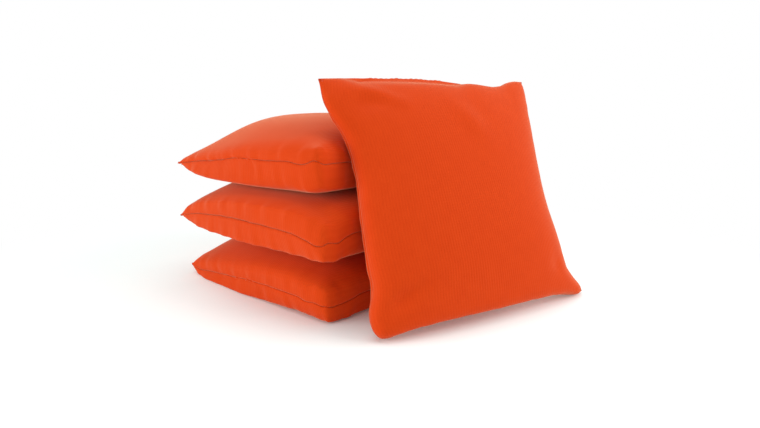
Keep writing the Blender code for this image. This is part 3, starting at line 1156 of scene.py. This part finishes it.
    @staticmethod
    def place(x: float, y: float, z: float, degrees: float) -> Matrix:
        """A bag's frame in the pile."""
        return Matrix.Translation((x, y, z)) @ Matrix.Rotation(math.radians(degrees), 4, "Z")


@dataclass(frozen=True)
class LeaningLie:
    """How the fourth bag leans: its frame is read from the solid bag, which was moved until it touched the pile."""

    angle: float = math.radians(25.2)
    turn: float = math.radians(72.4)
    foot_reach: float = 0.002
    top_left_reach: float = 0.0025

    def place(self) -> Matrix:
        """The bag's frame, from the corners of its solid panel."""
        axes = Matrix.Rotation(self.turn, 4, "Z") @ Matrix.Rotation(math.pi / 2 - self.angle, 4, "X")
        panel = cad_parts["leaning_bag_front_panel"]
        points = [panel.matrix_world @ vertex.co for vertex in panel.data.vertices]
        local = [axes.inverted() @ point for point in points]
        x = (max(p.x for p in local) + min(p.x for p in local) + self.top_left_reach - self.foot_reach) / 2
        y = max(p.y for p in local) - self.top_left_reach - BagForm.width / 2
        z = min(p.z for p in local) - BagForm.seam_gap / 2
        return Matrix.Translation(axes @ Vector((x, y, z))) @ axes

    def bag(self, finishes: dict[Slot, Material]) -> TossBag:
        """The leaning bag, with the soft folds that its face shows.

        Args:
            finishes: the material of each slot.

        Returns:
            The bag.
        """
        folds = (
            Fold((-0.062, 0.066), (-0.034, 0.054), 0.0045, 0.0026),
            Fold((-0.064, 0.052), (-0.04, 0.058), 0.005, -0.002),
            Fold((0.000, 0.052), (0.016, 0.03), 0.008, 0.0014),
            Fold((-0.068, -0.06), (-0.052, -0.055), 0.0045, -0.0034),
            Fold((0.06, -0.052), (0.05, -0.06), 0.005, -0.001),
        )
        bottom = SideLine(
            (-1.0, -0.93, -0.85, -0.7, -0.4, 0.0, 0.4, 0.7, 0.85, 0.93, 1.0),
            (-0.001, -0.0014, -0.0002, 0.0016, 0.0038, 0.0046, 0.0038, 0.0014, -0.001, -0.0024, -0.0006),
        )
        right = SideLine(
            (-1.0, -0.93, -0.86, -0.78, -0.7, -0.51, -0.22, 0.19, 0.51, 0.7, 0.89, 1.0),
            (-0.0006, 0.0006, 0.005, 0.0092, 0.0102, 0.0112, 0.0132, 0.0104, 0.0062, 0.0036, 0.0002, -0.0004),
        )
        top = SideLine(
            (-1.0, -0.8, -0.5, -0.14, 0.12, 0.39, 0.6, 0.7, 0.8, 0.88, 1.0),
            (-0.0004, -0.0018, -0.0022, -0.002, -0.0006, 0.0022, 0.0038, 0.0032, 0.0004, -0.0008, -0.0004),
        )
        left = SideLine(
            (-1.0, -0.95, -0.89, -0.79, -0.7, -0.62, -0.53, -0.31, -0.03, 0.12, 0.33, 0.48, 0.58, 0.7, 0.82, 1.0),
            (-0.0008, -0.0036, -0.0046, -0.0038, -0.0008, 0.0008, 0.0008, 0.0018)
            + (0.0036, 0.005, 0.005, 0.0038, 0.0016, -0.0022, -0.0042, -0.0016),
        )
        form = BagForm(
            0.0,
            NONE_OF_FOUR,
            (0.023, 0.014),
            (None, -0.0083),
            sides=(bottom, right, top, left),
            walls=(SideLine.arc(0.007), LEVEL, LEVEL, SideLine.arc(0.0015)),
            under_walls=(SideLine.arc(0.0025), LEVEL, LEVEL, LEVEL),
            reaches_x=(0.0005, 0.0055, 0.0012, 0.0048),
            reaches_y=(0.001, 0.002, 0.001, 0.0015),
            roundness=(0.4, 0.4),
            tip_rounds=(0.0008, 0.001, 0.0, 0.0),
            ripple=0.00004,
            gathers=0.45,
            slump=0.22,
            closing_shift=0.021,
            folds=folds,
        )
        return TossBag("leaning_bag", ("front_panel", "back_panel"), form, self.place(), 53, finishes)


@dataclass(frozen=True)
class SoftLight:
    """One large soft light that looks at the set."""

    name: str
    place: tuple[float, float, float]
    size: float
    watts: float
    colour: str = "FFFFFF"

    def build(self, target: Vector) -> None:
        """Adds the light.

        Args:
            target: the point that it faces.
        """
        lamp = bpy.data.lights.new(self.name, "AREA")
        lamp.shape = "SQUARE"
        lamp.size = self.size
        lamp.energy = self.watts
        lamp.color = linear(self.colour)[:3]
        thing = bpy.data.objects.new(self.name, lamp)
        thing.location = self.place
        thing.rotation_euler = (target - thing.location).to_track_quat("-Z", "Y").to_euler()
        bpy.context.scene.collection.objects.link(thing)


@dataclass(frozen=True)
class Studio:
    """White floor, white surround, soft lights and the photograph's camera."""

    lights: tuple[SoftLight, ...] = (
        SoftLight("key_right", (0.6, 0.35, 0.4), 0.5, 3.0),
        SoftLight("fill_left", (-0.5, -1.25, 0.24), 1.0, 13.8),
        SoftLight("top", (-0.15, 0.05, 1.4), 1.2, 9.5),
    )
    lit_point: tuple[float, float, float] = (0.03, 0.0, 0.06)
    surround: float = 0.37
    camera_place: tuple[float, float, float] = (0.29642, -0.26604, 0.13044)
    camera_way: tuple[float, float, float] = (-0.6688, 0.712, -0.2138)
    focal_px: float = 549.1
    picture_px: int = 760
    sensor_mm: float = 36.0
    floor_colour: str = "F2F4F3"
    # Colour of the floor's glow: painted light, pale cyan, that lifts its shadow.
    floor_glow_tint: str = "D6F2EC"
    floor_x: float = 0.035
    floor_reach: float = 6.0
    floor_height: float = -0.0002

    def build_floor(self) -> None:
        """A plain pale floor that takes the shadow, wide enough to fill the view."""
        # Matt painted board: to the eye a soft white that keeps the shadow and clips to white away from the bags. Its
        # faint pale cyan glow is painted light that lifts the shadow and cools its orange bounce, least near the bags.
        material, tree, shader = new_tree(
            "white_floor",
            {
                "Base Color": linear(self.floor_colour),
                "Roughness": 0.9,
                "Specular IOR Level": 0.1,
                "Emission Color": linear(self.floor_glow_tint),
            },
        )
        place = add_node(tree, "ShaderNodeTexCoord").outputs["Object"]
        centre = add_node(tree, "ShaderNodeCombineXYZ", {"X": self.floor_x}).outputs[0]
        away = add_node(tree, "ShaderNodeVectorMath", {"operation": "DISTANCE"}, {0: place, 1: centre}).outputs["Value"]
        # Distances in metres from the middle of the set: where it clips to white, and where its shadow is lifted.
        far, glow = (
            add_node(
                tree, "ShaderNodeMapRange", {"interpolation_type": "SMOOTHSTEP", **ring}, {"Value": away}
            ).outputs["Result"]
            for ring in (
                {"From Min": 0.16, "From Max": 0.34},
                {"From Min": 0.06, "From Max": 0.125, "To Min": 0.05, "To Max": 0.22},
            )
        )
        tree.links.new(glow, shader.inputs["Emission Strength"])
        white = add_node(tree, "ShaderNodeEmission", {"Color": linear("FFFFFF"), "Strength": 1.0})
        mix = add_node(
            tree, "ShaderNodeMixShader", None, {0: far, 1: shader.outputs["BSDF"], 2: white.outputs[0]}
        )
        tree.links.new(mix.outputs[0], tree.nodes["Material Output"].inputs["Surface"])
        mesh = bpy.data.meshes.new("floor")
        corners = [(u * self.floor_reach, v * self.floor_reach, self.floor_height) for u, v in CORNERS]
        mesh.from_pydata(corners, [], [(0, 1, 2, 3)])
        mesh.materials.append(material)
        floor = bpy.data.objects.new("floor", mesh)
        bpy.context.scene.collection.objects.link(floor)
        LOG.info("floor")

    def build_world(self) -> None:
        """White where the camera sees past the floor, and an even pale light elsewhere."""
        world = bpy.data.worlds.new("surround")
        world.use_nodes = True
        tree = world.node_tree
        tree.nodes.clear()
        light = add_node(tree, "ShaderNodeBackground", {"Color": linear("FFFFFF"), "Strength": self.surround})
        seen = add_node(tree, "ShaderNodeBackground", {"Color": linear("FFFFFF"), "Strength": 1.0})
        path = add_node(tree, "ShaderNodeLightPath").outputs
        either = add_node(
            tree,
            "ShaderNodeMath",
            {"operation": "MAXIMUM"},
            {0: path["Is Camera Ray"], 1: path["Is Transmission Ray"]},
        )
        mix = add_node(
            tree, "ShaderNodeMixShader", None, {0: either.outputs[0], 1: light.outputs[0], 2: seen.outputs[0]}
        )
        add_node(tree, "ShaderNodeOutputWorld", None, {"Surface": mix.outputs[0]})
        bpy.context.scene.world = world

    def build_camera(self) -> None:
        """The camera of the photograph, as fitted to the bags' corners."""
        data = bpy.data.cameras.new("photo_camera")
        data.sensor_fit = "HORIZONTAL"
        data.sensor_width = self.sensor_mm
        data.lens = self.focal_px / self.picture_px * self.sensor_mm
        data.clip_start = 0.01
        camera = bpy.data.objects.new("photo_camera", data)
        camera.location = self.camera_place
        camera.rotation_euler = Vector(self.camera_way).to_track_quat("-Z", "Y").to_euler()
        bpy.context.scene.collection.objects.link(camera)
        bpy.context.scene.camera = camera

    def build(self) -> None:
        """Makes the whole studio."""
        self.build_floor()
        self.build_world()
        for light in self.lights:
            light.build(Vector(self.lit_point))
        self.build_camera()
        bpy.context.scene.view_settings.view_transform = "Standard"
        LOG.info("lights and camera")


def main() -> None:
    """Builds the bags and the studio."""
    logging.basicConfig(level=logging.INFO, format="%(message)s")
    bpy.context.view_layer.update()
    finishes = {slot: finish.material() for slot, finish in zip(Slot, (CanvasFinish(), ThreadFinish(), GrainFinish()))}
    for bag in (*PileLie().bags(finishes), LeaningLie().bag(finishes)):
        bag.build()
    Studio().build()


if __name__ == "__main__":
    main()
